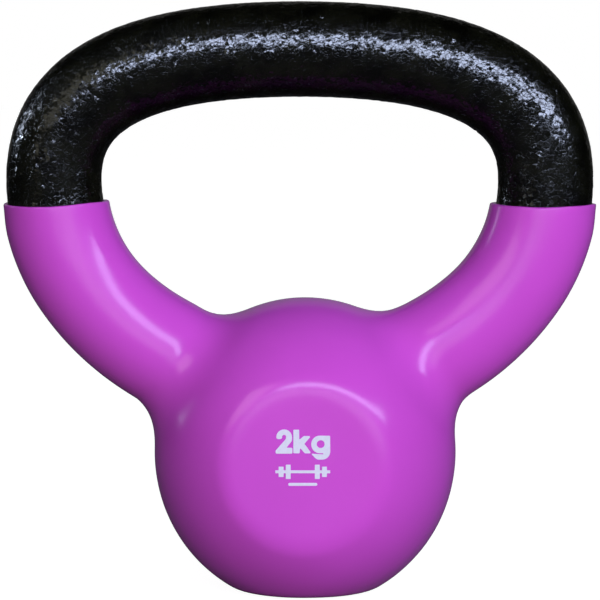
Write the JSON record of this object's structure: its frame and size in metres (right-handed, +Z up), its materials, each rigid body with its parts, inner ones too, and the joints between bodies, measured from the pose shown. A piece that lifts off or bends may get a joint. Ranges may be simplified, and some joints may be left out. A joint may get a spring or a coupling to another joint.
{
  "type": "kettlebell",
  "caption": "Light kettlebell: cast iron ball and loop handle, vinyl coat over the ball and horns, black hammered enamel grip, flat front, back and base.",
  "frame": {"origin": "centre of the flat base, on the surface that the kettlebell stands on", "axes": "+Z up through the ball and the middle of the grip, +X along the grip, -Y out of the printed front disc"},
  "size_m": [0.1448, 0.0608, 0.1437],
  "materials": {
    "cast_iron": "matte",
    "black_enamel": "gloss",
    "purple_vinyl": "satin",
    "white_print": "satin"
  },
  "bodies": {
    "root": {"core_casting": "cast_iron", "handle_enamel": "black_enamel", "vinyl_coat": "purple_vinyl", "printed_numeral_2": "white_print", "printed_letter_k": "white_print", "printed_letter_g": "white_print", "printed_emblem": "white_print", "printed_rule": "white_print"}
  },
  "joints": []
}
